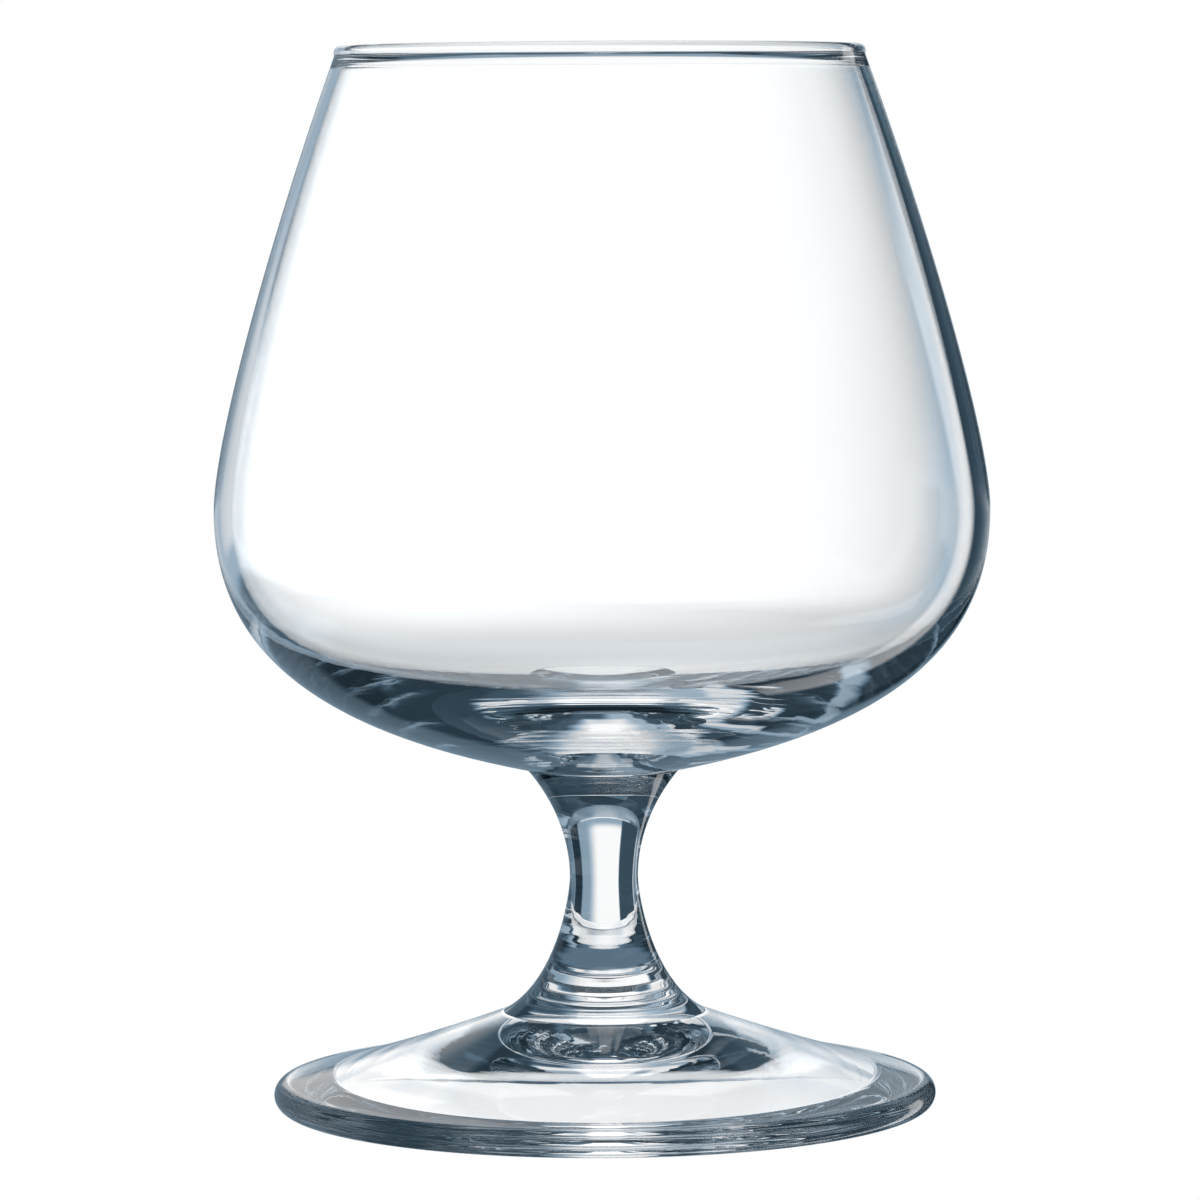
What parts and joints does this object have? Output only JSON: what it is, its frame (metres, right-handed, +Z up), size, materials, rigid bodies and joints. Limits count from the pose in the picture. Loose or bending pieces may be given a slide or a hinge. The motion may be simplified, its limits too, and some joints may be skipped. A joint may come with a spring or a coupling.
{
  "type": "brandy snifter",
  "caption": "Clear glass brandy snifter: a wide bowl that closes in towards its lip, on a short waisted stem and a round foot.",
  "frame": {"origin": "on the axis, where the foot meets the table", "axes": "+Z up along the axis of the stem, from the foot to the lip"},
  "size_m": [0.094, 0.094, 0.1289],
  "materials": {
    "clear_glass": "fire-polished clear glass"
  },
  "bodies": {
    "root": {"foot": "clear_glass", "stem": "clear_glass", "bowl": "clear_glass"}
  },
  "joints": []
}
